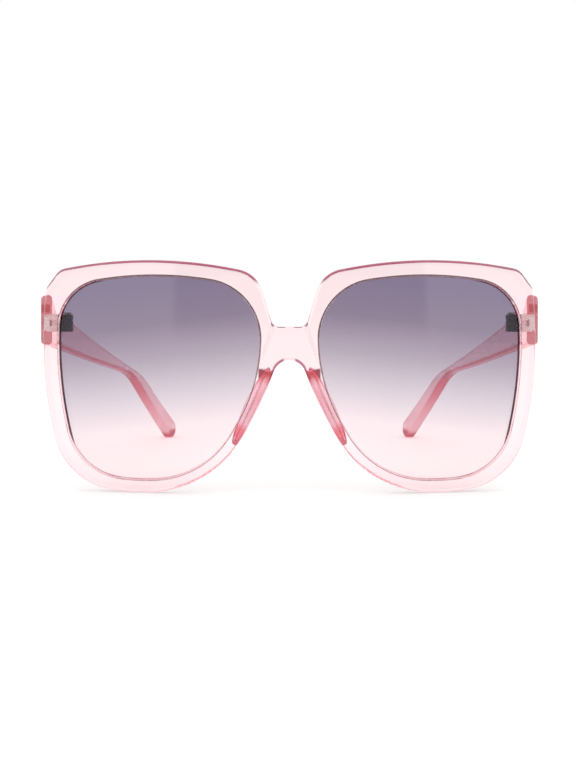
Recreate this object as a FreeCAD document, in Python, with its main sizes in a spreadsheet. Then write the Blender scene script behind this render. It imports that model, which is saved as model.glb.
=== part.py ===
import FreeCAD, Part
import math
import os
import re

import Sketcher
from FreeCAD import Placement, Rotation, Vector

os.makedirs("parts", exist_ok=True)

# Oversized square sunglasses with a see-through moulded front. Millimetres and degrees.
# X runs across the face, Y from the front to the temple tips, Z up from the table.
# The left half (+X, the wearer's left) is modelled and the right half is its mirror image.
doc = FreeCAD.newDocument("Sunglasses")
sheet = doc.addObject("Spreadsheet::Sheet", "Sizes")

driving = {
    # Lens edge: a rounded square of five arcs, boxed by its width and height.
    "lens_width": 60.4,
    "lens_height": 60.6,
    "bridge_gap": 16.2,
    "lens_side_radius": 122.0,
    "lens_top_radius": 105.0,
    "lens_nasal_radius": 51.0,
    "lens_cheek_radius": 124.0,
    "lens_bottom_radius": 60.0,
    "lens_side_rise": 10.0,
    "lens_nasal_rise": 12.5,
    "lens_cheek_drop": 24.7,
    "lens_top_shift": 1.1,
    "lens_bottom_shift": 5.0,
    "lens_brow_corner": 14.8,
    "lens_bridge_corner": 17.6,
    "lens_cheek_corner": 28.0,
    "lens_outer_corner": 18.2,
    # Rim around the lens edge, and the outer outline of the front.
    "rim_top": 4.2,
    "rim_side": 4.4,
    "rim_bottom": 3.6,
    "rim_top_radius": 130.0,
    "rim_top_shift": 2.9,
    "rim_brow_corner": 4.5,
    "rim_outer_corner": 19.5,
    "rim_cheek_corner": 33.0,
    "corner_cut_drop": 9.5,
    "corner_cut_angle": 53.0,
    "corner_cut_round": 4.0,
    "bridge_top_width": 9.4,
    "bridge_top_rise": 15.2,
    "bridge_top_round": 2.2,
    "notch_lean": 17.0,
    "notch_round": 9.0,
    "nose_rim": 2.98,
    "nose_drop": 24.0,
    "nose_twist": 1.2,
    "nose_radius": 123.0,
    "nose_arch_radius": 4.8,
    # Front in section: a spherical shell with a groove for the lens.
    "base_radius": 260.0,
    "front_thickness": 4.0,
    "front_edge_round": 0.9,
    "back_edge_round": 0.7,
    "lip_round": 0.35,
    "lens_thickness": 1.8,
    "lens_setback": 1.1,
    "groove_depth": 0.5,
    "groove_clearance": 0.06,
    # Flat panel let into the back of the bridge, with a bevelled crease down to each pad.
    "panel_width": 7.6,
    "panel_depth": 0.3,
    "panel_lean": 22.0,
    "panel_bevel": 65.0,
    "panel_reach": 13.0,
    # Nose pads moulded on the back of the nasal rims.
    "pad_length": 25.0,
    "pad_width": 3.6,
    "pad_depth": 5.8,
    "pad_offset": 1.2,
    "pad_drop": 8.0,
    "pad_lean": 25.0,
    "pad_splay": 10.0,
    "pad_root": 0.5,
    # Temples: tapered side view, thickness bent to a large plan radius.
    "hinge_rise": 16.75,
    "butt_height": 14.55,
    "butt_land": 0.3,
    "butt_clearance": 0.1,
    "end_proud": 0.9,
    "end_wrap": 2.0,
    "end_round": 1.2,
    "temple_thickness": 3.8,
    "temple_lean": 6.0,
    "temple_plan_radius": 1000.0,
    "temple_reach": 138.5,
    "temple_top_slope": 15.0,
    "temple_flare_slope": 22.0,
    "temple_lower_slope": 9.4,
    "tip_slope": 32.0,
    "tip_top_slope": 29.5,
    "tip_radius": 3.3,
    "waist_reach": 54.0,
    "waist_rise": 10.2,
    "flare_round": 60.0,
    "bend_lower_radius": 50.0,
    "bend_upper_radius": 60.0,
    "temple_edge_round": 1.1,
    # Three-barrel hinge sunk into the plastic.
    "barrel_radius": 1.7,
    "barrel_height": 1.7,
    "barrel_gap": 0.06,
    "barrel_chamfer": 0.25,
    "barrel_drop": 1.0,
    "barrel_inset": 2.1,
    "leaf_thickness": 1.1,
    "anchor_depth": 3.0,
    "anchor_width": 2.0,
    "anchor_height": 4.0,
    "anchor_inset": 1.0,
    "leaf_start": 0.8,
    "leaf_length": 9.0,
    "leaf_height": 4.6,
    "stud_radius": 0.6,
    "stud_length": 1.4,
    "stud_pitch": 4.0,
    "leaf_proud": 0.25,
    "pocket_clearance": 0.04,
    "screw_radius": 0.7,
    "screw_clearance": 0.03,
    "screw_head_radius": 1.1,
    "screw_head_height": 0.6,
    "screw_slot_width": 0.35,
    "screw_slot_depth": 0.35,
}

for row, (alias, size) in enumerate(driving.items(), start=1):
    sheet.set(f"A{row}", alias)
    sheet.set(f"B{row}", str(size))
    sheet.setAlias(f"B{row}", alias)
doc.recompute()

# Sizes that follow from the driving ones, as expressions in their names.
derived = {
    "nasal_edge": "bridge_gap / 2",
    "outer_edge": "nasal_edge + lens_width",
    "lens_mid_x": "nasal_edge + lens_width / 2",
    "lens_mid_z": "rim_bottom + lens_height / 2",
    "lens_top": "rim_bottom + lens_height",
    "front_half": "outer_edge + rim_side",
    "end_half": "front_half + end_proud",
    "front_height": "lens_top + rim_top",
    "bridge_top": "lens_mid_z + bridge_top_rise",
    "nasal_x": "nasal_edge + lens_nasal_radius",
    "nasal_z": "lens_mid_z + lens_nasal_rise",
    "cheek_shift": "lens_cheek_radius - lens_nasal_radius",
    "cheek_sin": "lens_cheek_drop / lens_nasal_radius",
    "cheek_cos": "sqrt(1 - cheek_sin ^ 2)",
    "hinge_z": "lens_mid_z + hinge_rise",
    "back_radius": "base_radius - front_thickness",
    "butt_reach": "hinge_rise + butt_height / 2",
    "end_sag": "base_radius - sqrt(back_radius ^ 2 - end_half ^ 2 - butt_reach ^ 2)",
    "front_y": "-(end_sag + butt_land + butt_clearance + temple_reach + tip_radius) / 2",
    "centre_y": "front_y + base_radius",
    "butt_y": "front_y + end_sag + butt_land",
    "temple_face_y": "butt_y + butt_clearance",
    "hinge_y": "butt_y + barrel_radius - leaf_thickness",
    "hinge_x": "temple_inner - barrel_inset - barrel_radius",
    "pad_reach": "lens_nasal_radius + pad_offset",
    "pad_x": "nasal_x - sqrt(pad_reach ^ 2 - (lens_nasal_rise + pad_drop) ^ 2)",
    "pad_z": "lens_mid_z - pad_drop",
    "pad_y": "centre_y - sqrt(back_radius ^ 2 - pad_x ^ 2 - pad_drop ^ 2)",
    "nose_reach": "lens_nasal_radius + nose_rim",
    "nose_flare": "asin(cheek_sin) - nose_twist * 1 deg",
    "nose_in": "sqrt(nose_reach ^ 2 - nose_drop ^ 2)",
    "nose_x": "nasal_x - nose_in + nose_radius * cos(nose_flare)",
    "nose_z": "nasal_z - nose_drop + nose_radius * sin(nose_flare)",
    "arch_z": "nose_z - sqrt((nose_radius + nose_arch_radius) ^ 2 - nose_x ^ 2)",
    "lens_front": "base_radius - lens_setback",
    "lens_back": "lens_front - lens_thickness",
    "butt_low": "hinge_z - butt_height / 2",
    "butt_high": "hinge_z + butt_height / 2",
    "tip_y": "temple_face_y + temple_reach",
    "temple_inner": "end_half - temple_thickness",
    "barrel_z": "hinge_z - barrel_drop",
    "barrel_low": "barrel_z - 1.5 * barrel_height",
    "barrel_run": "barrel_height - barrel_gap / 2",
    "middle_low": "barrel_low + barrel_height + barrel_gap / 2",
    "upper_low": "barrel_low + 2 * barrel_height + barrel_gap / 2",
    "run_start": "front_y - front_thickness",
    "anchor_x": "end_half - anchor_inset - anchor_width",
    "depth": "tip_y + tip_radius - front_y",
}


def link(text):
    # Derived names are opened up, then every driving name is tied to its cell of the sheet.
    def opened(match):
        word = match.group(0)
        if word in derived:
            return "(" + link(derived[word]) + ")"
        if word in driving:
            return "Sizes." + word
        return word

    return re.sub(r"[a-z_]+", opened, text)


def size_of(text):
    return float(sheet.evalExpression(link(text)))


def make(kind, name, **bound):
    item = doc.addObject(kind, name)
    for prop, text in bound.items():
        item.setExpression(prop.replace("__", "."), link(text))
    return item


def at(item, x, y, z):
    for axis, text in (("x", x), ("y", y), ("z", z)):
        item.setExpression("Placement.Base." + axis, link(text))
    return item


def cut(name, base, tool):
    item = doc.addObject("Part::Cut", name)
    item.Base = base
    item.Tool = tool
    return item


def common(name, first, second):
    item = doc.addObject("Part::Common", name)
    item.Base = first
    item.Tool = second
    return item


def joined(name, first, second):
    item = doc.addObject("Part::Fuse", name)
    item.Base = first
    item.Tool = second
    return item


def fuse(name, *pieces):
    item = doc.addObject("Part::MultiFuse", name)
    item.Shapes = list(pieces)
    item.Refine = True
    return item


def block(name, x, y, z, length, width, height):
    item = make("Part::Box", name, Length=length, Width=width, Height=height)
    return at(item, x, y, z)


def rod(name, x, y, z, radius, height):
    return at(make("Part::Cylinder", name, Radius=radius, Height=height), x, y, z)


# Outlines are closed chains of sides, run with the material on the left. A corner between two
# sides has a radius, negative where the outline is hollow; "sharp" leaves it, "touch" joins
# two sides that already run into one another.
def round_side(x, z, radius, hollow=False, placed="xz"):
    return {"kind": "round", "x": x, "z": z, "radius": radius, "hollow": hollow, "placed": placed}


def straight_side(x, z, angle, placed="xz"):
    return {"kind": "straight", "x": x, "z": z, "angle": angle, "placed": placed}


def solved(side):
    point = Vector(size_of(side["x"]), size_of(side["z"]), 0)
    if side["kind"] == "round":
        return {**side, "point": point, "size": size_of(side["radius"])}
    turn = math.radians(size_of(side["angle"]))
    return {**side, "point": point, "along": Vector(math.cos(turn), math.sin(turn), 0)}


def shifted(side, step):
    # The side moved to its left by a step.
    if side["kind"] == "round":
        inward = -step if not side["hollow"] else step
        return {**side, "size": side["size"] + inward}
    left = Vector(-side["along"].y, side["along"].x, 0)
    return {**side, "point": side["point"] + left * step}


def foot(side, point):
    # The point of the side nearest to a given point.
    if side["kind"] == "round":
        return side["point"] + (point - side["point"]).normalize() * side["size"]
    return side["point"] + side["along"] * (point - side["point"]).dot(side["along"])


def meet(first, second, near):
    # Where two sides cross, nearest to a given point.
    if first["kind"] == "straight" and second["kind"] == "straight":
        gap = second["point"] - first["point"]
        cross = first["along"].x * second["along"].y - first["along"].y * second["along"].x
        run = (gap.x * second["along"].y - gap.y * second["along"].x) / cross
        return first["point"] + first["along"] * run
    if first["kind"] == "straight":
        first, second = second, first
    if second["kind"] == "straight":
        middle = foot(second, first["point"])
        half = math.sqrt(first["size"] ** 2 - (middle - first["point"]).Length ** 2)
        across = second["along"]
    else:
        gap = second["point"] - first["point"]
        reach = gap.Length
        run = (first["size"] ** 2 - second["size"] ** 2 + reach ** 2) / (2 * reach)
        half = math.sqrt(first["size"] ** 2 - run ** 2)
        middle = first["point"] + gap * (run / reach)
        across = Vector(-gap.y, gap.x, 0) * (1 / reach)
    choices = (middle + across * half, middle - across * half)
    return min(choices, key=lambda point: (point - near).Length)


def turned_arc(centre, radius, start, end, clockwise):
    # An arc with the places of its start and end in the run of the chain.
    first = math.atan2(start.y - centre.y, start.x - centre.x)
    last = math.atan2(end.y - centre.y, end.x - centre.x)
    if clockwise:
        first, last = last, first
    if last < first:
        last += 2 * math.pi
    circle = Part.Circle(centre, Vector(0, 0, 1), radius)
    arc = Part.ArcOfCircle(circle, first, last)
    return arc, (2, 1) if clockwise else (1, 2)


def outline(name, sides, corners, grow="0"):
    # A sketch of the chain in the XZ plane; grow moves the whole outline outwards.
    sketch = doc.addObject("Sketcher::SketchObject", name)
    real = []
    for side in sides:
        step = grow if not side.get("hollow") else "-(" + grow + ")"
        if side["kind"] == "round" and grow != "0":
            side = {**side, "radius": f"{side['radius']} + {step}"}
        real.append(solved(side))
    count = len(real)
    links = []
    for i, (radius, near_x, near_z) in enumerate(corners):
        here, after = real[i], real[(i + 1) % count]
        near = Vector(size_of(near_x), size_of(near_z), 0)
        if radius == "touch":
            if after["kind"] == "straight":
                spot = foot(after, here["point"])
            elif here["kind"] == "straight":
                spot = foot(here, after["point"])
            elif here["hollow"] != after["hollow"]:
                spot = foot(here, after["point"])
            else:
                spot = here["point"] + (here["point"] - after["point"]).normalize() * here["size"]
                if after["size"] < here["size"]:
                    spot = after["point"] + (after["point"] - here["point"]).normalize() * after["size"]
            links.append({"kind": "touch", "end": spot, "start": spot})
        elif radius == "sharp":
            spot = meet(here, after, near)
            links.append({"kind": "sharp", "end": spot, "start": spot})
        else:
            text = radius if grow == "0" else f"{radius} + {grow}"
            bend = size_of(text)
            centre = meet(shifted(here, bend), shifted(after, bend), near)
            found = {"kind": "round", "end": foot(here, centre), "start": foot(after, centre)}
            links.append({**found, "centre": centre, "radius": text, "bend": bend})
    # Geometry in order round the chain, each with the ends it starts and stops at.
    drawn = []
    for i, side in enumerate(real):
        start, end = links[i - 1]["start"], links[i]["end"]
        if side["kind"] == "straight":
            index = sketch.addGeometry(Part.LineSegment(start, end), False)
            drawn.append((index, 1, 2))
        else:
            arc, ends = turned_arc(side["point"], side["size"], start, end, side["hollow"])
            drawn.append((sketch.addGeometry(arc, False), *ends))
        if links[i]["kind"] == "round":
            corner = links[i]
            bend = corner["bend"]
            arc, ends = turned_arc(corner["centre"], abs(bend), corner["end"], corner["start"], bend < 0)
            drawn.append((sketch.addGeometry(arc, False), *ends))
    bind_outline(sketch, real, links, drawn)
    sketch.Placement = Placement(Vector(0, 0, 0), Rotation(Vector(1, 0, 0), 90))
    return sketch


def bind_outline(sketch, real, links, drawn):
    # Joints first, then the radius and place of every side, tied to the sheet.
    for i, (index, first, last) in enumerate(drawn):
        after, start, stop = drawn[(i + 1) % len(drawn)]
        sharp = joint_kind(i, links) == "sharp"
        kind = "Coincident" if sharp else "Tangent"
        sketch.addConstraint(Sketcher.Constraint(kind, index, last, after, start))
    place = 0
    for side, corner in zip(real, links):
        index = drawn[place][0]
        bind_side(sketch, side, index)
        place += 1
        if corner["kind"] == "round":
            index = drawn[place][0]
            number = sketch.addConstraint(Sketcher.Constraint("Radius", index, abs(corner["bend"])))
            sketch.setExpression(f"Constraints[{number}]", f"abs({link(corner['radius'])})")
            place += 1


def joint_kind(place, links):
    # The kind of joint that follows the element at a place in the chain.
    step = 0
    for corner in links:
        if step == place:
            return corner["kind"]
        step += 1
        if corner["kind"] == "round":
            if step == place:
                return "round"
            step += 1
    return "round"


def bind_side(sketch, side, index):
    def add(kind, *where, text):
        value = size_of(text)
        if kind == "Angle":
            value = math.radians(value)
        number = sketch.addConstraint(Sketcher.Constraint(kind, *where, value))
        sketch.setExpression(f"Constraints[{number}]", link(text))

    if side["kind"] == "round":
        add("Radius", index, text=side["radius"])
        if side["hollow"]:
            sketch.addConstraint(Sketcher.Constraint("PointOnObject", index, 3, -2))
        if "x" in side["placed"]:
            add("DistanceX", -1, 1, index, 3, text=side["x"])
        if "z" in side["placed"]:
            add("DistanceY", -1, 1, index, 3, text=side["z"])
        return
    if side["x"] == "0" and side["angle"] == "-90":
        sketch.addConstraint(Sketcher.Constraint("PointOnObject", index, 1, -2))
        sketch.addConstraint(Sketcher.Constraint("PointOnObject", index, 2, -2))
        return
    add("Angle", index, text=side["angle"])
    if side["placed"]:
        x, z, angle = side["x"], side["z"], side["angle"]
        add("Distance", -1, 1, index, text=f"abs(({x}) * sin({angle}) - ({z}) * cos({angle}))")


def swept(name, sketch, direction, start, length):
    # The outline run straight along a direction, from a start to a length.
    item = make("Part::Extrusion", name, LengthFwd=length)
    item.Base = sketch
    item.DirMode = "Custom"
    item.Dir = direction
    item.Solid = True
    axis = "xyz"[[abs(round(part)) for part in direction].index(1)]
    item.setExpression("Placement.Base." + axis, link(start))
    return item


def lens_sides():
    return [
        round_side("outer_edge - lens_side_radius", "lens_mid_z + lens_side_rise", "lens_side_radius"),
        round_side("lens_mid_x + lens_top_shift", "lens_top - lens_top_radius", "lens_top_radius"),
        round_side("nasal_x", "nasal_z", "lens_nasal_radius"),
        round_side(
            "nasal_x + cheek_shift * cheek_cos",
            "nasal_z + cheek_shift * cheek_sin",
            "lens_cheek_radius",
            placed="z",
        ),
        round_side(
            "lens_mid_x + lens_bottom_shift",
            "rim_bottom + lens_bottom_radius",
            "lens_bottom_radius",
        ),
    ]


lens_corners = [
    ("lens_brow_corner", "outer_edge", "lens_top"),
    ("lens_bridge_corner", "nasal_edge", "lens_top"),
    ("touch", "nasal_edge", "lens_mid_z"),
    ("lens_cheek_corner", "nasal_edge", "rim_bottom"),
    ("lens_outer_corner", "outer_edge", "rim_bottom"),
]


def lens_outline(name, grow="0"):
    return outline(name, lens_sides(), lens_corners, grow)


def front_outline(name):
    sides = [
        round_side("0", "arch_z", "nose_arch_radius", hollow=True, placed=""),
        round_side("nose_x", "nose_z", "nose_radius"),
        round_side(
            "lens_mid_x + lens_bottom_shift",
            "rim_bottom + lens_bottom_radius",
            "lens_bottom_radius + rim_bottom",
        ),
        round_side(
            "outer_edge - lens_side_radius",
            "lens_mid_z + lens_side_rise",
            "lens_side_radius + rim_side",
        ),
        straight_side("front_half", "front_height - corner_cut_drop", "180 - corner_cut_angle"),
        round_side(
            "lens_mid_x + rim_top_shift",
            "front_height - rim_top_radius",
            "rim_top_radius",
        ),
        straight_side("bridge_top_width / 2", "bridge_top", "-90 - notch_lean"),
        straight_side("0", "bridge_top", "180"),
        straight_side("0", "0", "-90"),
    ]
    corners = [
        ("touch", "0", "arch_z"),
        ("rim_cheek_corner", "nasal_edge", "0"),
        ("rim_outer_corner", "front_half", "0"),
        ("corner_cut_round", "front_half", "front_height - corner_cut_drop"),
        ("rim_brow_corner", "front_half", "front_height"),
        ("notch_round", "nasal_edge", "front_height"),
        ("-bridge_top_round", "bridge_top_width / 2", "bridge_top"),
        ("sharp", "0", "bridge_top"),
        ("sharp", "0", "bridge_top"),
    ]
    return outline(name, sides, corners)


def temple_outline(name):
    # Side view of a temple, with Y drawn along the sketch's first axis.
    sides = [
        straight_side("temple_face_y", "butt_low", "-temple_lower_slope"),
        straight_side(
            "tip_y - tip_radius * sin(tip_slope)",
            "tip_radius - tip_radius * cos(tip_slope)",
            "-tip_slope",
            placed="",
        ),
        round_side("tip_y", "tip_radius", "tip_radius"),
        straight_side(
            "tip_y + tip_radius * sin(tip_top_slope)",
            "tip_radius + tip_radius * cos(tip_top_slope)",
            "180 - tip_top_slope",
            placed="",
        ),
        straight_side("temple_face_y + waist_reach", "hinge_z - waist_rise", "180 - temple_top_slope"),
        straight_side("temple_face_y", "butt_high", "180 - temple_flare_slope"),
        straight_side("temple_face_y", "0", "-90"),
    ]
    corners = [
        ("-bend_lower_radius", "tip_y", "0"),
        ("touch", "tip_y", "0"),
        ("touch", "tip_y", "0"),
        ("bend_upper_radius", "tip_y", "0"),
        ("-flare_round", "tip_y", "0"),
        ("sharp", "temple_face_y", "butt_high"),
        ("sharp", "temple_face_y", "butt_low"),
    ]
    sketch = outline(name, sides, corners)
    sketch.Placement = Placement(Vector(0, 0, 0), Rotation(Vector(1, 1, 1), 120))
    return sketch


def ball(name, radius):
    # A sphere about the centre of the front's base curve.
    return at(make("Part::Sphere", name, Radius=radius), "0", "centre_y", "lens_mid_z")


def shell(name, outer, inner):
    return cut(name, ball(name + "Outer", outer), ball(name + "Inner", inner))


def rounded(name, base, wanted):
    # A fillet of the base's edges; wanted gives the radius of an edge, or none.
    doc.recompute()
    item = doc.addObject("Part::Fillet", name)
    item.Base = base
    edges = []
    for number, edge in enumerate(base.Shape.Edges, start=1):
        radius = wanted(edge)
        if radius:
            edges.append((number, radius, radius))
    item.Edges = edges
    return item


def spread(edge):
    # Three points along an edge.
    first, last = edge.ParameterRange
    return [edge.valueAt(first + (last - first) * part) for part in (0.1, 0.5, 0.9)]


def on_ball(edge, radius):
    centre = Vector(0, size_of("centre_y"), size_of("lens_mid_z"))
    return all(abs((point - centre).Length - radius) < 0.001 for point in spread(edge))


def silhouette_radius(edge):
    # The front's outer edges, before the lens opening is cut.
    if all(abs(point.x) < 0.001 for point in spread(edge)):
        return None
    if on_ball(edge, size_of("base_radius")):
        return size_of("front_edge_round")
    if on_ball(edge, size_of("back_radius")):
        return size_of("back_edge_round")
    return None


def front_blank(inner_sketch, profile, opening):
    # The rim and half the bridge, with the lens opening cut and every long edge eased.
    body = common("FrontBlank", profile, shell("FrontShell", "base_radius", "back_radius"))
    body = rounded("FrontEdges", body, silhouette_radius)
    body = cut("FrontOpened", body, opening)

    def lip_radius(edge):
        points = [Vector(point.x, 0, point.z) for point in spread(edge)]
        gaps = [inner_sketch.Shape.distToShape(Part.Vertex(point))[0] for point in points]
        ends = on_ball(edge, size_of("base_radius")) or on_ball(edge, size_of("back_radius"))
        return size_of("lip_round") if ends and max(gaps) < 0.01 else None

    return rounded("FrontLips", body, lip_radius)


def end_piece(lens_run):
    # A lug behind the rim's outer corner, a little proud of it at the side and flat where the
    # temple closes against it. It stops at the lens edge, clear of the barrels.
    box = block(
        "EndBlock",
        "outer_edge - rim_side",
        "front_y",
        "butt_low",
        "2 * rim_side + end_proud",
        "butt_y - front_y",
        "butt_height",
    )
    box = rounded("EndBlockRound", box, end_block_radius)
    lug = common("EndInside", box, ball("EndBall", "back_radius + end_wrap"))
    return cut("EndPiece", lug, lens_run)


def end_block_radius(edge):
    points = spread(edge)
    along_y = abs(points[0].y - points[-1].y) > 1
    return size_of("end_round") if along_y else None


def bridge_panel():
    # The panel's crease leans out from the bridge's top corner to the top of the pad.
    panel = make(
        "Part::Wedge",
        "BridgePanel",
        Xmin="-bridge_gap",
        X2min="-bridge_gap",
        X2max="front_thickness * tan(panel_bevel)",
        Ymax="front_thickness",
        Zmin="-panel_reach",
        Z2min="-panel_reach",
        Zmax="panel_reach",
        Z2max="panel_reach",
    )
    panel.Xmax = 0
    panel.Ymin = 0
    panel.Placement = Placement(Vector(0, 0, 0), Rotation(Vector(0, 1, 0), -size_of("panel_lean")))
    return at(panel, "panel_width / 2", "front_y + front_thickness - panel_depth", "bridge_top")


def nose_pad():
    # A long shallow egg shape that leans with the rim and splays away from the nose.
    egg = make(
        "Part::Ellipsoid",
        "PadEgg",
        Radius1="pad_length / 2",
        Radius2="pad_width / 2",
        Radius3="pad_depth",
    )
    egg.Angle1 = -90
    egg.Angle2 = 90
    egg.Angle3 = 360
    lean = Rotation(Vector(0, 1, 0), -size_of("pad_lean"))
    splay = Rotation(Vector(0, 0, 1), -size_of("pad_splay"))
    egg.Placement = Placement(Vector(0, 0, 0), lean.multiply(splay))
    at(egg, "pad_x", "pad_y", "pad_z")
    return common("NosePad", egg, ball("PadBall", "back_radius + pad_root"))


def front_leaf(name, spare):
    # Two barrels with arms flat in the end piece, joined by a sunk anchor. Spare grows the
    # sunk part into the pocket that takes it.
    arms = []
    for level, low in (("Lower", "barrel_low"), ("Upper", "upper_low")):
        arms.append(
            block(
                name + level + "Arm",
                "hinge_x",
                f"butt_y - leaf_thickness - {spare}",
                f"{low} - {spare}",
                f"anchor_x + anchor_width / 2 - hinge_x + {spare}",
                f"leaf_thickness + {spare}",
                f"barrel_run + 2 * {spare}",
            )
        )
    anchor = block(
        name + "Anchor",
        f"anchor_x - {spare}",
        f"butt_y - anchor_depth - {spare}",
        f"barrel_z - anchor_height / 2 - {spare}",
        f"anchor_width + 2 * {spare}",
        f"anchor_depth + {spare}",
        f"anchor_height + 2 * {spare}",
    )
    return arms, anchor


def barrel(name, low, run):
    # One knuckle of the hinge, with both its ends chamfered.
    blank = rod(name + "Blank", "hinge_x", "hinge_y", low, "barrel_radius", run)
    doc.recompute()
    item = doc.addObject("Part::Chamfer", name)
    item.Base = blank
    size = size_of("barrel_chamfer")
    rims = [number for number, edge in enumerate(blank.Shape.Edges, start=1) if edge.isClosed()]
    item.Edges = [(number, size, size) for number in rims]
    return item


def screw_hole(name):
    return rod(
        name,
        "hinge_x",
        "hinge_y",
        "barrel_low - barrel_height",
        "screw_radius + screw_clearance",
        "5 * barrel_height",
    )


def leaned(item, x, y, z):
    # Turned with the temple about its inner front corner, then set at x, y, z in that frame.
    item.Placement = Placement(Vector(0, 0, 0), Rotation(Vector(0, 0, 1), 0))
    item.setExpression("Placement.Rotation.Angle", link("temple_lean"))
    at(
        item,
        f"temple_inner + ({x}) * cos(temple_lean) - ({y}) * sin(temple_lean)",
        f"temple_face_y + ({x}) * sin(temple_lean) + ({y}) * cos(temple_lean)",
        z,
    )
    return item


def temple_leaf(name, spare):
    # A plate let into the temple's inner face with two studs, or the pocket for it.
    plate = make(
        "Part::Box",
        name + "Plate",
        Length=f"leaf_thickness + {spare}",
        Width=f"leaf_length + 2 * {spare}",
        Height=f"leaf_height + 2 * {spare}",
    )
    leaned(plate, "-leaf_proud", f"leaf_start - {spare}", f"barrel_z - leaf_height / 2 - {spare}")
    pieces = [plate]
    for count, place in enumerate(("-stud_pitch / 2", "stud_pitch / 2"), start=1):
        stud = make(
            "Part::Cylinder",
            f"{name}Stud{count}",
            Radius=f"stud_radius + {spare}",
            Height=f"leaf_thickness + stud_length + {spare}",
        )
        pieces.append(stud)
        sunk_stud(stud, place)
    return pieces


def sunk_stud(stud, place):
    # A stud lies across the temple, along the leaned X direction.
    along = f"leaf_start + leaf_length / 2 + {place}"
    turn = Rotation(Vector(0, 0, 1), size_of("temple_lean"))
    stud.Placement = Placement(Vector(0, 0, 0), turn.multiply(Rotation(Vector(0, 1, 0), 90)))
    at(
        stud,
        f"temple_inner - leaf_proud * cos(temple_lean) - ({along}) * sin(temple_lean)",
        f"temple_face_y - leaf_proud * sin(temple_lean) + ({along}) * cos(temple_lean)",
        "barrel_z",
    )


def temple_edge_radius(edge):
    # The four long edges and the tip's edges, but not the flat butt.
    points = spread(edge)
    flat_butt = all(abs(point.y - size_of("temple_face_y")) < 0.001 for point in points)
    across = max(abs(points[0].y - points[-1].y), abs(points[0].z - points[-1].z)) < 0.05
    return None if flat_butt or across else size_of("temple_edge_round")


def temple():
    sketch = temple_outline("TempleOutline")
    run = swept("TempleRun", sketch, Vector(1, 0, 0), "0", "end_half + rim_side")
    faces = []
    for name, inset in (("TempleOuter", "0"), ("TempleInner", "temple_thickness")):
        face = rod(
            name,
            "end_half - temple_plan_radius * cos(temple_lean)",
            "temple_face_y - temple_plan_radius * sin(temple_lean)",
            "-tip_radius",
            f"temple_plan_radius - {inset}",
            "2 * front_height",
        )
        faces.append(face)
    blank = common("TempleBlank", run, cut("TempleBend", *faces))
    return rounded("TempleRound", blank, temple_edge_radius)


def screw():
    # Cheese head with a cross slot, and a plain shank through the three barrels.
    top = "barrel_low + 3 * barrel_height"
    shank = rod("ScrewShank", "hinge_x", "hinge_y", "barrel_low", "screw_radius", "3 * barrel_height")
    head = rod("ScrewHead", "hinge_x", "hinge_y", top, "screw_head_radius", "screw_head_height")
    slot = block(
        "ScrewSlot",
        "hinge_x - 2 * screw_head_radius",
        "hinge_y - screw_slot_width / 2",
        f"{top} + screw_head_height - screw_slot_depth",
        "4 * screw_head_radius",
        "screw_slot_width",
        "screw_head_height",
    )
    return cut("ScrewLeft", fuse("ScrewBlank", shank, head), slot)


def mirrored(name, source):
    item = doc.addObject("Part::Mirroring", name)
    item.Source = source
    item.Base = Vector(0, 0, 0)
    item.Normal = Vector(1, 0, 0)
    return item


# The front: one half with its end piece, bridge panel, pad, groove and hinge pocket, joined to
# its mirror image.
inner_sketch = lens_outline("OpeningOutline", "(0 - groove_depth)")
profile = swept("FrontProfile", front_outline("FrontOutline"), Vector(0, 1, 0), "run_start", "depth")
opening = swept("LensOpening", inner_sketch, Vector(0, 1, 0), "run_start", "depth")
lens_run = swept("LensRun", lens_outline("LensOutline"), Vector(0, 1, 0), "run_start", "depth")
rim = cut("FrontPanelled", front_blank(inner_sketch, profile, opening), bridge_panel())
half = joined("FrontWithEnd", rim, end_piece(lens_run))
half = joined("FrontWithPad", half, nose_pad())
groove_sketch = lens_outline("GrooveOutline", "groove_clearance")
groove_run = swept("GrooveRun", groove_sketch, Vector(0, 1, 0), "run_start", "depth")
groove_shell = shell("GrooveShell", "lens_front + groove_clearance", "lens_back - groove_clearance")
half = cut("FrontGrooved", half, common("Groove", groove_run, groove_shell))
arms, anchor = front_leaf("FrontPocket", "pocket_clearance")
half = cut("FrontHalf", half, fuse("FrontPocket", *arms, anchor))
front = joined("FrontFrame", half, mirrored("FrontMirror", half))

lens = common("LensLeft", lens_run, shell("LensShell", "lens_front", "lens_back"))

# The hinge: two outer barrels on the front, the middle one on the temple, and the screw.
arms, anchor = front_leaf("FrontLeaf", "0")
upper = barrel("FrontLeafUpper", "upper_low", "barrel_run")
lower = barrel("FrontLeafLower", "barrel_low", "barrel_run")
leaf = fuse("FrontLeafBlank", *arms, anchor, upper, lower)
front_hinge = cut("FrontLeafLeft", leaf, screw_hole("FrontLeafBore"))

middle = barrel("TempleLeafBarrel", "middle_low", "barrel_height - barrel_gap")
arm = block(
    "TempleLeafArm",
    "hinge_x",
    "hinge_y + barrel_radius - leaf_thickness",
    "middle_low",
    "temple_inner - leaf_proud - hinge_x",
    "leaf_thickness",
    "barrel_height - barrel_gap",
)
leaf = fuse("TempleLeafBlank", *temple_leaf("TempleLeaf", "0"), middle, arm)
temple_hinge = cut("TempleLeafLeft", leaf, screw_hole("TempleLeafBore"))
pocket = fuse("TemplePocket", *temple_leaf("TemplePocket", "pocket_clearance"))
side = cut("TempleLeft", temple(), pocket)
pin = screw()

nodes = {"front_frame": front}
pairs = {
    "lens": lens,
    "temple": side,
    "front_hinge_leaf": front_hinge,
    "temple_hinge_leaf": temple_hinge,
    "hinge_screw": pin,
}
for word, item in pairs.items():
    nodes["left_" + word] = item
    nodes["right_" + word] = mirrored(item.Name + "Mirror", item)
doc.recompute()

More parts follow.
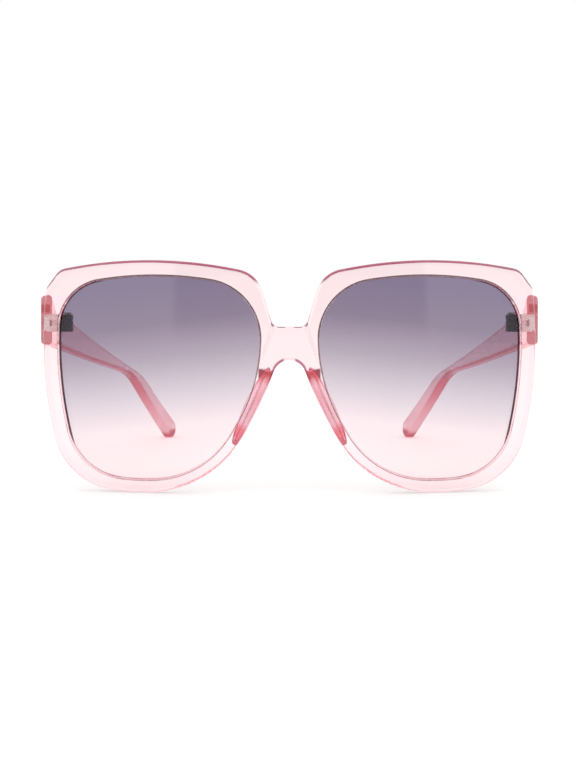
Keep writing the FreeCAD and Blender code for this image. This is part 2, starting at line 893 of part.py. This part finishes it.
# Every object is sound before any file is written.
for item in doc.Objects:
    if "Invalid" in item.State or "Error" in item.State:
        raise RuntimeError(f"{item.Name} did not build: {item.State}")
for label, item in nodes.items():
    item.Label = label
    shape = item.Shape
    if shape.isNull() or not shape.isValid() or len(shape.Solids) != 1:
        raise RuntimeError(f"{label} is not one sound solid")
for label, item in nodes.items():
    item.Shape.exportStep(f"parts/{label}.step")
    print(label, "solids", len(item.Shape.Solids), "volume", round(item.Shape.Volume, 2))
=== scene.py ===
import math

import bpy
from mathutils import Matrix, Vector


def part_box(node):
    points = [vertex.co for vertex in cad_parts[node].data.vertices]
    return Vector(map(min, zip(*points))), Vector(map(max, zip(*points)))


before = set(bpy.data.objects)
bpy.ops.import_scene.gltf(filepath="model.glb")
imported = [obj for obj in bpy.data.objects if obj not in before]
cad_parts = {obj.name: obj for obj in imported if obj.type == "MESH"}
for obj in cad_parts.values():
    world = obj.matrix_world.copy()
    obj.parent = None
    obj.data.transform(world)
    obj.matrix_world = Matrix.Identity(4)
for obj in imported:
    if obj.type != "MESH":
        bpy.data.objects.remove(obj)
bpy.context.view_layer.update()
scene = bpy.context.scene
mm = 0.001
mixBy, mixFrom, mixTo, mixed = 0, 6, 7, 2  # sockets of a Mix node for colours: factor, A, B and result
plainFrom, plainTo = 2, 3                  # A and B of a Mix node for plain numbers


def linear(hexColour):  # sRGB hex to the linear colour the shaders take
    parts = [int(hexColour[i:i + 2], 16) / 255 for i in (1, 3, 5)]
    lin = [p / 12.92 if p <= 0.04045 else ((p + 0.055) / 1.055) ** 2.4 for p in parts]
    return (*lin, 1.0)


def addNode(tree, kind, settings=None, links=None):  # one node, its settings and what feeds it
    node = tree.nodes.new("ShaderNode" + kind)
    for key, value in (settings or {}).items():
        if isinstance(key, str) and hasattr(node, key) and key not in node.inputs:
            setattr(node, key, value)
        else:
            node.inputs[key].default_value = value
    for key, source in (links or {}).items():
        tree.links.new(source.outputs[0] if hasattr(source, "outputs") else source, node.inputs[key])
    return node


def maskWhere(tree, gates, mask=None):  # 1 where each reading is past its gate, with soft borders
    for reading, start, end in gates:
        settings = {"interpolation_type": "SMOOTHSTEP", "From Min": start, "From Max": end}
        gate = addNode(tree, "MapRange", settings, {"Value": reading})
        mask = addNode(tree, "Math", {"operation": "MULTIPLY"}, {0: mask, 1: gate}) if mask else gate
    return mask


def newMaterial(name):
    material = bpy.data.materials.new(name)
    material.use_nodes = True
    material.node_tree.nodes.clear()
    return material, material.node_tree


def dress(nodeName, material):  # the CAD node keeps its mesh and takes a finish
    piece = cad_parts[nodeName]
    piece.data.materials.clear()
    piece.data.materials.append(material)


# Crystal polycarbonate, injection moulded and tumble polished: clear, pink only through its
# depth, so flats look almost white and long paths along an edge go deep rose.
crystal = {
    "ior": 1.585,
    "tint": "#FF5997",       # the pink dye takes no red
    "surface": "#FFFAFA",
    "surfaceFlow": "#FFF4F5",
    "flowSize": 14 * mm,     # melt flow marks across the moulding
    "flowDetail": 3.0,
    "flowBend": 0.6,
    "polishSize": 2.2 * mm,  # tumbling haze
    "polishDetail": 4.0,
    "polishRange": (0.4, 0.75),  # haze that gives roughLow and roughHigh
    "waveSize": 9 * mm,      # sink and flow waviness
    "waveHeight": 0.006 * mm,
    "waveDetail": 1.0,
}

# A mark colours one place. Each of its gates names a reading, where the mark begins and where it is
# full: side, deep and high are mm from the middle, back and up, ball is mm from the shell's centre,
# outY and outZ are how far the surface faces back and up.

# The front: dark rose lines on its edges, under the bridge and on the pads are painted shade for
# the deep colour seen where the plastic is looked through lengthwise; the pads are left satin by the mould.
frontFinish = dict(crystal, density=34.0, roughLow=0.012, roughHigh=0.05, marks=[  # density per metre
    {"name": "panel behind the bridge", "colour": "#FBE9EC",
     "gates": [("outY", 0.98, 0.995), ("ball", 256.1, 256.3), ("ball", 257.4, 257.2), ("side", 9, 8)]},
    # painted shade: dark rose lines along the brow, its corners, along the bridge and under it, for the
    # colour seen lengthwise through the plastic
    {"name": "painted shade, top edge", "colour": "#6E1A32",
     "gates": [("outZ", 0.16, 0.38), ("high", 60.6, 62.8)]},
    {"name": "painted shade, cut corners", "colour": "#662C40",
     "gates": [("outZ", 0.14, 0.34), ("outZ", 0.9, 0.8), ("side", 58, 62), ("high", 58, 59)]},
    {"name": "painted shade, bridge top, inner dash", "colour": "#5E2436",
     "gates": [("outZ", 0.6, 0.8), ("high", 46, 47), ("high", 53, 52), ("side", 0.7, 1.6),
               ("side", 3.9, 3.5)]},
    {"name": "painted shade, bridge top, outer dash", "colour": "#5E2436",
     "gates": [("outZ", 0.2, 0.4), ("high", 46, 47), ("high", 53, 52), ("side", 4.4, 4.8),
               ("side", 6.4, 5.9)]},
    {"name": "painted shade, arch under the bridge", "colour": "#8A3550",
     "gates": [("outZ", -0.02, -0.25), ("high", 33, 35), ("high", 42, 41), ("side", 1.2, 2.0),
               ("side", 6.6, 6.1)]},
    {"name": "satin pads", "colour": "#F4BBC4", "rough": 0.22,
     "gates": [("ball", 255.9, 255.6), ("side", 22, 21)]},
    # painted shade: deep red on the pads' tops, feet and roots, for the long path seen down through each pad
    {"name": "painted shade, pad tops", "colour": "#9A141E",
     "gates": [("ball", 255.9, 255.6), ("side", 9.4, 7.8), ("high", 29, 32)]},
    {"name": "painted shade, pad feet", "colour": "#F04C5C",
     "gates": [("ball", 255.9, 255.6), ("side", 22, 21), ("high", 22, 19.5), ("high", 15.5, 17.5)]},
    {"name": "painted shade, pad roots", "colour": "#4C0005",
     "gates": [("ball", 255.8, 255.95), ("ball", 256.8, 256.2), ("side", 6.4, 7.0), ("side", 9.4, 8.8),
               ("high", 33.6, 34.4), ("high", 37.4, 36.6)]},
])

# The temples: the same plastic, seen lengthwise through the lenses, so the bottom edge and the tip carry most
# of the colour, here painted on as painted shade, with a darker painted shadow where the tip stands on the
# table; less tumbled than the front, satin at the ends and sawn matt where the hinge goes in; the butt's
# lower half is painted paler, painted light, and carries a painted deep rose spot.
templeFinish = dict(crystal, density=44.0, roughLow=0.16, roughHigh=0.26, marks=[
    {"name": "satin ends", "colour": "#FFFCFC", "rough": 0.62,
     "gates": [("deep", 22, 62)]},
    # painted shade: deep rose along the bottom edge, for the colour seen lengthwise through the temple
    {"name": "painted shade, lower edge", "colour": "#FF4A66",
     "gates": [("outZ", -0.15, -0.5), ("deep", -62, -52), ("deep", 72, 36)]},
    # painted shadow: a darker rose spot at the tip, just above the table where the tip stands
    {"name": "painted shadow, tip end", "colour": "#C83C50",
     "gates": [("deep", 69, 73), ("high", 4.0, 2.4)]},
    {"name": "sawn butt", "colour": "#FFF0F2", "rough": 0.5, "clear": 0.6,
     "gates": [("outY", -0.985, -0.995)]},
    # painted light: the butt's lower half is paler and less clear, for the light seen on it
    {"name": "painted light, lower half of the butt", "colour": "#FFF4F6", "rough": 0.5, "clear": 0.45,
     "gates": [("outY", -0.985, -0.995), ("high", 47.6, 45.6)]},
    # painted shade: a deep rose spot high on the butt, for the colour seen lengthwise through the plastic
    # there
    {"name": "painted shade spot in the butt", "colour": "#C8384E",
     "gates": [("outY", -0.985, -0.995), ("high", 52.5, 53.1), ("high", 55.5, 54.9),
               ("side", 70.4, 70.8)]},
])

# The ball-shaped shell that the front is cut from.
shell = {
    "behind": 259.93 * mm,   # its centre, behind the foremost point of the front
    "height": 33.9 * mm,     # above the table
}
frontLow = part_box("front_frame")[0]
shellCentre = (0, frontLow[1] + shell["behind"], shell["height"])


def crystalPlastic(name, c):
    material, tree = newMaterial(name)
    place = addNode(tree, "TexCoord")
    spot = place.outputs["Object"]
    flow = addNode(tree, "TexNoise", {"Scale": 1 / c["flowSize"], "Detail": c["flowDetail"],
                                      "Distortion": c["flowBend"]}, {"Vector": spot})
    haze = addNode(tree, "TexNoise", {"Scale": 1 / c["polishSize"], "Detail": c["polishDetail"]},
                   {"Vector": spot})
    wave = addNode(tree, "TexNoise", {"Scale": 1 / c["waveSize"], "Detail": c["waveDetail"]},
                   {"Vector": spot})
    bump = addNode(tree, "Bump", {"Strength": 1.0, "Distance": c["waveHeight"]}, {"Height": wave})
    colour = addNode(tree, "Mix", {"data_type": "RGBA", mixFrom: linear(c["surface"]),
                                   mixTo: linear(c["surfaceFlow"])}, {mixBy: flow}).outputs[mixed]
    smooth, hazy = c["polishRange"]
    rough = addNode(tree, "MapRange", {"From Min": smooth, "From Max": hazy, "To Min": c["roughLow"],
                                       "To Max": c["roughHigh"]}, {"Value": haze}).outputs[0]
    clear = addNode(tree, "Value").outputs[0]
    clear.default_value = 1.0
    at = addNode(tree, "SeparateXYZ", None, {0: spot})
    shape = addNode(tree, "NewGeometry")
    turned = addNode(tree, "MapRange", {"To Min": 1.0, "To Max": -1.0},
                     {"Value": shape.outputs["Backfacing"]})  # a wall seen from inside still faces out
    outward = addNode(tree, "VectorMath", {"operation": "SCALE"},
                      {0: place.outputs["Normal"], "Scale": turned})
    facing = addNode(tree, "SeparateXYZ", None, {0: outward})
    ball = addNode(tree, "VectorMath", {"operation": "DISTANCE", 1: shellCentre}, {0: spot})
    side = addNode(tree, "Math", {"operation": "ABSOLUTE"}, {0: at.outputs["X"]})
    readings = {  # what can be read at a point, and the unit of its gates
        "side": (side, mm),
        "deep": (at.outputs["Y"], mm),
        "high": (at.outputs["Z"], mm),
        "ball": (ball.outputs["Value"], mm),
        "outY": (facing.outputs["Y"], 1.0),
        "outZ": (facing.outputs["Z"], 1.0),
    }
    for mark in c["marks"]:
        gates = []
        for reading, start, end in mark["gates"]:
            value, unit = readings[reading]
            gates.append((value, start * unit, end * unit))
        mask = maskWhere(tree, gates)
        colour = addNode(tree, "Mix", {"label": mark["name"], "data_type": "RGBA",
                                       mixTo: linear(mark["colour"])},
                         {mixBy: mask, mixFrom: colour}).outputs[mixed]
        if "rough" in mark:
            rough = addNode(tree, "Mix", {plainTo: mark["rough"]}, {mixBy: mask, plainFrom: rough}).outputs[0]
        if "clear" in mark:
            clear = addNode(tree, "Mix", {plainTo: mark["clear"]}, {mixBy: mask, plainFrom: clear}).outputs[0]
    shader = addNode(tree, "BsdfPrincipled", {"IOR": c["ior"]},
                     {"Base Color": colour, "Roughness": rough, "Transmission Weight": clear, "Normal": bump})
    depth = addNode(tree, "VolumeAbsorption", {"Color": linear(c["tint"]), "Density": c["density"]})
    addNode(tree, "OutputMaterial", None, {"Surface": shader, "Volume": depth})
    return material


# The left lens's outline in mm, as in the CAD: five round sides, with four corners rounded off.
lensOutline = {
    "nose": 8.1,             # from the middle of the bridge
    "outer": 68.5,
    "bottom": 3.6,           # above the table
    "top": 64.2,
    "sideRadius": 122.0,
    "sideRise": 10.0,        # of the arc's centre above the middle of the lens
    "topRadius": 105.0,
    "topShift": 1.1,         # of the arc's centre outwards from the middle
    "noseRadius": 51.0,
    "noseRise": 12.5,
    "slopeRadius": 124.0,
    "slopeDrop": 24.7,       # from the nose side's centre down to where the slope takes over
    "bottomRadius": 60.0,
    "bottomShift": 5.0,
    "outerBrowRadius": 14.8,
    "innerBrowRadius": 17.6,
    "innerCheekRadius": 28.0,
    "outerCheekRadius": 18.2,
}


def cornerArc(first, second, radius):  # touches two sides from inside, going round anticlockwise
    ax, az, reachA = first[0], first[1], first[2] - radius
    bx, bz, reachB = second[0], second[1], second[2] - radius
    gap = math.hypot(bx - ax, bz - az)
    stepX, stepZ = (bx - ax) / gap, (bz - az) / gap
    along = (gap ** 2 + reachA ** 2 - reachB ** 2) / (2 * gap)
    across = math.sqrt(reachA ** 2 - along ** 2)
    return ax + along * stepX - across * stepZ, az + along * stepZ + across * stepX, radius


def lensArcs():  # each arc's centre and radius
    c = lensOutline
    midX, midZ = (c["nose"] + c["outer"]) / 2, (c["bottom"] + c["top"]) / 2
    lean = math.asin(c["slopeDrop"] / c["noseRadius"])
    shift = c["slopeRadius"] - c["noseRadius"]
    outerSide = (c["outer"] - c["sideRadius"], midZ + c["sideRise"], c["sideRadius"])
    top = (midX + c["topShift"], c["top"] - c["topRadius"], c["topRadius"])
    noseSide = (c["nose"] + c["noseRadius"], midZ + c["noseRise"], c["noseRadius"])
    noseSlope = (noseSide[0] + shift * math.cos(lean), noseSide[1] + shift * math.sin(lean), c["slopeRadius"])
    bottom = (midX + c["bottomShift"], c["bottom"] + c["bottomRadius"], c["bottomRadius"])
    return {
        "outerSide": outerSide,
        "outerBrow": cornerArc(outerSide, top, c["outerBrowRadius"]),
        "top": top,
        "innerBrow": cornerArc(top, noseSide, c["innerBrowRadius"]),
        "noseSide": noseSide,
        "noseSlope": noseSlope,
        "innerCheek": cornerArc(noseSlope, bottom, c["innerCheekRadius"]),
        "bottom": bottom,
        "outerCheek": cornerArc(bottom, outerSide, c["outerCheekRadius"]),
    }


# Tinted acrylic lens, dip dyed from the top and polished: smoke mauve at the brow fades to a
# breath of pink at the cheek, with one faint clear reflection; the dark line round its rim is partly a dark
# ground edge and partly painted shade for the refraction at the edge.
lensFinish = {
    "ior": 1.49,
    "rough": 0.006,
    "fade": [                # height above the table in mm, colour let through
        (8, "#F9E9EB"),
        (20, "#EDDEE3"),
        (30, "#CEC3CD"),
        (40, "#ADA0B0"),
        (50, "#918398"),
        (62, "#867B95"),
    ],
    "dyeSize": 18 * mm,      # cloudiness of the dye bath
    "dyeDetail": 2.0,
    "dyeShift": 0.6 * mm,
    "dyeTilt": 0.12,         # lenses hang tilted in the bath, so the fade climbs outwards
    # the edge line's colours: partly a dark ground edge, partly painted shade for the refraction at the edge
    "dyeMiddle": 38 * mm,
    "edgeDark": "#442C36",
    "edgePale": "#8E6670",
    "edgeFade": (6.0, 22.0),  # mm above the table, from pale to dark
    "edgeSoft": 0.12,        # mm either side of the line's border
    "edges": {               # how wide in mm and how strongly each arc shows, and where it counts
        "outerSide": {"width": 1.1, "strength": 1.0, "gates": []},
        "outerBrow": {"width": 0.9, "strength": 1.0, "gates": [("X", 53, 57), ("Z", 46, 50)]},
        "outerCheek": {"width": 0.6, "strength": 0.7, "gates": [("X", 47, 51), ("Z", 21, 17)]},
        "top": {"width": 0.6, "strength": 1.0, "gates": []},
        "bottom": {"width": 0.45, "strength": 0.7, "gates": [("Z", 10, 8)]},
        "innerCheek": {"width": 0.34, "strength": 0.55, "gates": [("X", 41, 38), ("Z", 19, 16)]},
        "noseSlope": {"width": 0.28, "strength": 0.5, "gates": []},
        "noseSide": {"width": 0.36, "strength": 0.75, "gates": [("Z", 20, 23)]},
        "innerBrow": {"width": 0.52, "strength": 1.0, "gates": [("X", 26, 22), ("Z", 43, 47)]},
    },
}


def gradientLens():
    c = lensFinish
    material, tree = newMaterial("dyedAcrylicLens")
    place = addNode(tree, "TexCoord")
    spot = place.outputs["Object"]
    mirrored = addNode(tree, "VectorMath", {"operation": "ABSOLUTE"}, {0: spot})  # the right lens as the left
    at = addNode(tree, "SeparateXYZ", None, {0: mirrored})
    cloud = addNode(tree, "TexNoise", {"Scale": 1 / c["dyeSize"], "Detail": c["dyeDetail"]}, {"Vector": spot})
    drift = addNode(tree, "MapRange", {"To Min": -c["dyeShift"], "To Max": c["dyeShift"]}, {"Value": cloud})
    tilt = addNode(tree, "Math", {"operation": "MULTIPLY_ADD", 1: c["dyeTilt"],
                                  2: -c["dyeTilt"] * c["dyeMiddle"]}, {0: at.outputs["X"]})
    raised = addNode(tree, "Math", {"operation": "ADD"}, {0: at.outputs["Z"], 1: tilt})
    height = addNode(tree, "Math", {"operation": "ADD"}, {0: raised, 1: drift})
    low, high = c["fade"][0][0] * mm, c["fade"][-1][0] * mm
    along = addNode(tree, "MapRange", {"From Min": low, "From Max": high}, {"Value": height})
    ramp = addNode(tree, "ValToRGB", None, {"Fac": along})
    stops = ramp.color_ramp.elements
    while len(stops) < len(c["fade"]):
        stops.new(0.5)  # placed below
    for stop, (z, colour) in zip(stops, c["fade"]):
        stop.position = (z * mm - low) / (high - low)
        stop.color = linear(colour)
    flat = addNode(tree, "VectorMath", {"operation": "MULTIPLY", 1: (1, 0, 1)}, {0: mirrored})
    # partly painted shade: a dark line inside each arc of the outline, as wide and strong as the refraction
    # shows it there
    edge = None
    for name, (centreX, centreZ, radius) in lensArcs().items():
        line = c["edges"][name]
        far = addNode(tree, "VectorMath", {"operation": "DISTANCE", 1: (centreX * mm, 0, centreZ * mm)},
                      {0: flat}).outputs["Value"]
        begin = radius - line["width"]
        gates = [(far, (begin - c["edgeSoft"]) * mm, (begin + c["edgeSoft"]) * mm)]
        gates += [(at.outputs[axis], start * mm, end * mm) for axis, start, end in line["gates"]]
        mask = addNode(tree, "Math", {"label": name, "operation": "MULTIPLY", 1: line["strength"]},
                       {0: maskWhere(tree, gates)})
        edge = addNode(tree, "Math", {"operation": "MAXIMUM"}, {0: edge, 1: mask}) if edge else mask
    pale, dark = c["edgeFade"]
    fadeUp = maskWhere(tree, [(at.outputs["Z"], pale * mm, dark * mm)])
    edgeColour = addNode(tree, "Mix", {"data_type": "RGBA", mixFrom: linear(c["edgePale"]),
                                       mixTo: linear(c["edgeDark"])}, {mixBy: fadeUp}).outputs[mixed]
    colour = addNode(tree, "Mix", {"data_type": "RGBA"},
                     {mixBy: edge, mixFrom: ramp, mixTo: edgeColour}).outputs[mixed]
    shader = addNode(tree, "BsdfPrincipled", {"IOR": c["ior"], "Transmission Weight": 1.0,
                                              "Roughness": c["rough"]}, {"Base Color": colour})
    addNode(tree, "OutputMaterial", None, {"Surface": shader})
    return material


# Nickel plated steel, turned and barrelled: bright grey with fine turning rings and soft edges; on the hinges
# the barrels are painted dark mauve grey, painted shade for the barrels seen in shadow behind the tinted
# lens, and the part sunk in the plastic stays bright.
nickel = {
    "bright": ("#E0DDD9", "#CBC7C3"),
    # painted shade: the hinge barrels are dark mauve grey for the shadow they sit in behind the tinted lens
    "shadedBarrels": ("#7A6872", "#483A43"),
    "screw": ("#C8C5C0", "#8F8B88"),
    "sunkFrom": (67.9, 68.5),   # mm from the middle
    # painted shade: near black in the chamfers between the barrels
    "chamferShade": "#0E0D0D",         # on the chamfers between the barrels
    "leaning": (0.3, 0.5),      # a chamfer's normal is more upright than a barrel's
    "notLevel": (0.96, 0.86),   # and less upright than a flat end's
    "speckSize": 1.1 * mm,
    "speckDetail": 5.0,
    "roughLow": 0.16,
    "roughHigh": 0.38,
    "ringSize": 0.12 * mm,      # one radian of a ring, coarser than real turning marks so that they show
    "ringHeight": 0.004 * mm,
    "ringWander": 0.4,
    "ringStrength": 0.5,
}
waveRadians = 20  # that Blender's wave texture runs through per unit at scale 1


def nickelSteel(name, outer, sunk):
    c = nickel
    material, tree = newMaterial(name)
    place = addNode(tree, "TexCoord")
    spot = place.outputs["Object"]
    at = addNode(tree, "SeparateXYZ", None, {0: spot})
    side = addNode(tree, "Math", {"operation": "ABSOLUTE"}, {0: at.outputs["X"]})
    sunkStart, sunkEnd = c["sunkFrom"]
    inside = maskWhere(tree, [(side, sunkStart * mm, sunkEnd * mm)])
    speck = addNode(tree, "TexNoise", {"Scale": 1 / c["speckSize"], "Detail": c["speckDetail"]},
                    {"Vector": spot})
    # on the hinge the outer tone is painted shade and the sunk tone is plain bright nickel; on the screw both
    # are its own colour
    outerTone, sunkTone = [addNode(tree, "Mix", {"data_type": "RGBA", mixFrom: linear(pale), mixTo: linear(dark)},
                          {mixBy: speck}).outputs[mixed] for pale, dark in (outer, sunk)]
    metal = addNode(tree, "Mix", {"data_type": "RGBA"},
                    {mixBy: inside, mixFrom: outerTone, mixTo: sunkTone}).outputs[mixed]
    facing = addNode(tree, "SeparateXYZ", None, {0: place.outputs["Normal"]})
    upright = addNode(tree, "Math", {"operation": "ABSOLUTE"}, {0: facing.outputs["Z"]})
    # painted shade: the chamfers between the barrels are darkened along the seams
    seam = maskWhere(tree, [(upright, *c["leaning"]), (upright, *c["notLevel"])])
    colour = addNode(tree, "Mix", {"data_type": "RGBA", mixTo: linear(c["chamferShade"])},
                     {mixBy: seam, mixFrom: metal}).outputs[mixed]
    rough = addNode(tree, "MapRange", {"To Min": c["roughLow"], "To Max": c["roughHigh"]}, {"Value": speck})
    rings = addNode(tree, "TexWave", {"wave_type": "BANDS", "bands_direction": "Z",
                                      "Scale": 1 / c["ringSize"] / waveRadians,
                                      "Distortion": c["ringWander"]}, {"Vector": spot})
    bump = addNode(tree, "Bump", {"Strength": c["ringStrength"], "Distance": c["ringHeight"]},
                   {"Height": rings.outputs["Fac"]})
    shader = addNode(tree, "BsdfPrincipled", {"Metallic": 1.0},
                     {"Base Color": colour, "Roughness": rough, "Normal": bump})
    addNode(tree, "OutputMaterial", None, {"Surface": shader})
    return material


tinted = gradientLens()
hingeMetal = nickelSteel("nickelPlatedHinge", nickel["shadedBarrels"], nickel["bright"])
screwMetal = nickelSteel("nickelPlatedScrew", nickel["screw"], nickel["screw"])
templePlastic = crystalPlastic("crystalPolycarbonateTemple", templeFinish)
dress("front_frame", crystalPlastic("crystalPolycarbonateFront", frontFinish))
for side in ("left", "right"):
    dress(side + "_temple", templePlastic)
    dress(side + "_lens", tinted)
    dress(side + "_front_hinge_leaf", hingeMetal)
    dress(side + "_temple_hinge_leaf", hingeMetal)
    dress(side + "_hinge_screw", screwMetal)
print("finishes on the CAD pieces")


# Stage: white table and a white room; the room is dark only where the camera stands, and only
# for reflections.
white = (1, 1, 1, 1)
stage = {
    "floorSize": 60.0,           # metres, far enough that its edge hides behind the brow
    "floorDrop": 0.03 * mm,      # so that no face of the part lies in the table's own plane
    "floorColour": "#EDEBEA",
    "floorLift": 0.36,           # glow that the eye sees and the part is not lit by
    "roomLight": 0.8,            # of the room as a lamp; it is seen at full white
    "darkColour": "#3A3840",
    "darkFrom": (-20.2, -18.6),  # degrees round from straight ahead
    "darkTo": (24.0, 22.4),
    "darkRise": (0.5, 7.5),      # degrees above the table's edge
}


def shownRays(tree, path):  # 1 for rays that show a surface, 0 for those that only carry its light
    seen = addNode(tree, "Math", {"operation": "MAXIMUM"},
                   {0: path.outputs["Is Camera Ray"], 1: path.outputs["Is Glossy Ray"]})
    return addNode(tree, "Math", {"operation": "MAXIMUM"}, {0: seen, 1: path.outputs["Is Transmission Ray"]})


def whiteTable():
    c = stage
    half = c["floorSize"] / 2
    corners = [(-half, -half, 0), (half, -half, 0), (half, half, 0), (-half, half, 0)]
    mesh = bpy.data.meshes.new("table")
    mesh.from_pydata(corners, [], [(0, 1, 2, 3)])
    table = bpy.data.objects.new("table", mesh)
    table.location.z = -c["floorDrop"]
    scene.collection.objects.link(table)
    material, tree = newMaterial("whiteTableTop")
    path = addNode(tree, "LightPath")
    lift = addNode(tree, "Math", {"operation": "MULTIPLY", 1: c["floorLift"]}, {0: shownRays(tree, path)})
    matt = addNode(tree, "BsdfDiffuse", {"Color": linear(c["floorColour"])})
    glow = addNode(tree, "Emission", {"Color": white}, {"Strength": lift})
    both = addNode(tree, "AddShader", None, {0: matt, 1: glow})
    addNode(tree, "OutputMaterial", None, {"Surface": both})
    mesh.materials.append(material)


def whiteRoom():
    c = stage
    world = bpy.data.worlds.new("whiteRoom")
    scene.world = world
    world.use_nodes = True
    tree = world.node_tree
    tree.nodes.clear()
    path = addNode(tree, "LightPath")
    place = addNode(tree, "TexCoord")
    at = addNode(tree, "SeparateXYZ", None, {0: place.outputs["Generated"]})
    ahead = addNode(tree, "Math", {"operation": "MULTIPLY", 1: -1.0}, {0: at.outputs["Y"]})
    angle = addNode(tree, "Math", {"operation": "ARCTAN2"}, {0: at.outputs["X"], 1: ahead})
    rise = addNode(tree, "Math", {"operation": "ARCSINE"}, {0: at.outputs["Z"]})
    reflected = addNode(tree, "Math", {"operation": "SUBTRACT", "use_clamp": True},
                        {0: path.outputs["Is Glossy Ray"], 1: path.outputs["Is Transmission Ray"]})
    borders = ((angle, c["darkFrom"]), (angle, c["darkTo"]), (rise, c["darkRise"]))
    gates = [(reading, math.radians(start), math.radians(end)) for reading, (start, end) in borders]
    colour = addNode(tree, "Mix", {"data_type": "RGBA", mixFrom: white, mixTo: linear(c["darkColour"])},
                     {mixBy: maskWhere(tree, gates, reflected)}).outputs[mixed]
    level = addNode(tree, "MapRange", {"To Min": c["roomLight"], "To Max": 1.0},
                    {"Value": shownRays(tree, path)})
    background = addNode(tree, "Background", None, {"Color": colour, "Strength": level})
    addNode(tree, "OutputWorld", None, {"Surface": background})


lamps = {  # places and sizes in metres, turns in degrees, power in watts
    "overhead": {"at": (0.0, -0.05, 0.9), "turn": (0, 0, 0), "size": (0.9, 0.9), "power": 1.2},
    "leftBank": {"at": (0.75, -0.55, 0.55), "turn": (62, 0, 54), "size": (0.5, 0.8), "power": 0.6},
    "rightBank": {"at": (-0.75, -0.55, 0.55), "turn": (62, 0, -54), "size": (0.5, 0.8), "power": 0.6},
}


def softLamps():
    for name, c in lamps.items():
        light = bpy.data.lights.new(name, "AREA")
        light.shape = "RECTANGLE"
        light.size, light.size_y = c["size"]
        light.energy = c["power"]
        lamp = bpy.data.objects.new(name, light)
        lamp.location = c["at"]
        lamp.rotation_euler = [math.radians(a) for a in c["turn"]]
        scene.collection.objects.link(lamp)


view = {  # the photo's camera
    "at": (-0.00043, -0.5091, 0.0652),  # metres
    "tilt": 90 - 4.33,       # degrees up from straight down
    "lens": 69.91,           # mm
    "sensor": 36.0,          # mm
    "near": 0.01,            # metres
}


def photoCamera():
    data = bpy.data.cameras.new("photoCamera")
    data.lens = view["lens"]
    data.sensor_width = view["sensor"]
    data.clip_start = view["near"]
    camera = bpy.data.objects.new("photoCamera", data)
    camera.location = view["at"]
    camera.rotation_euler = (math.radians(view["tilt"]), 0, 0)
    scene.collection.objects.link(camera)
    scene.camera = camera


whiteTable()
whiteRoom()
softLamps()
photoCamera()
scene.view_settings.view_transform = "Standard"
clearBounces = 64  # light crosses many clear walls on its way to the table
mattBounces = 16
scene.cycles.max_bounces = clearBounces
scene.cycles.transmission_bounces = clearBounces
scene.cycles.glossy_bounces = clearBounces
scene.cycles.diffuse_bounces = mattBounces
print("stage, lamps and camera")
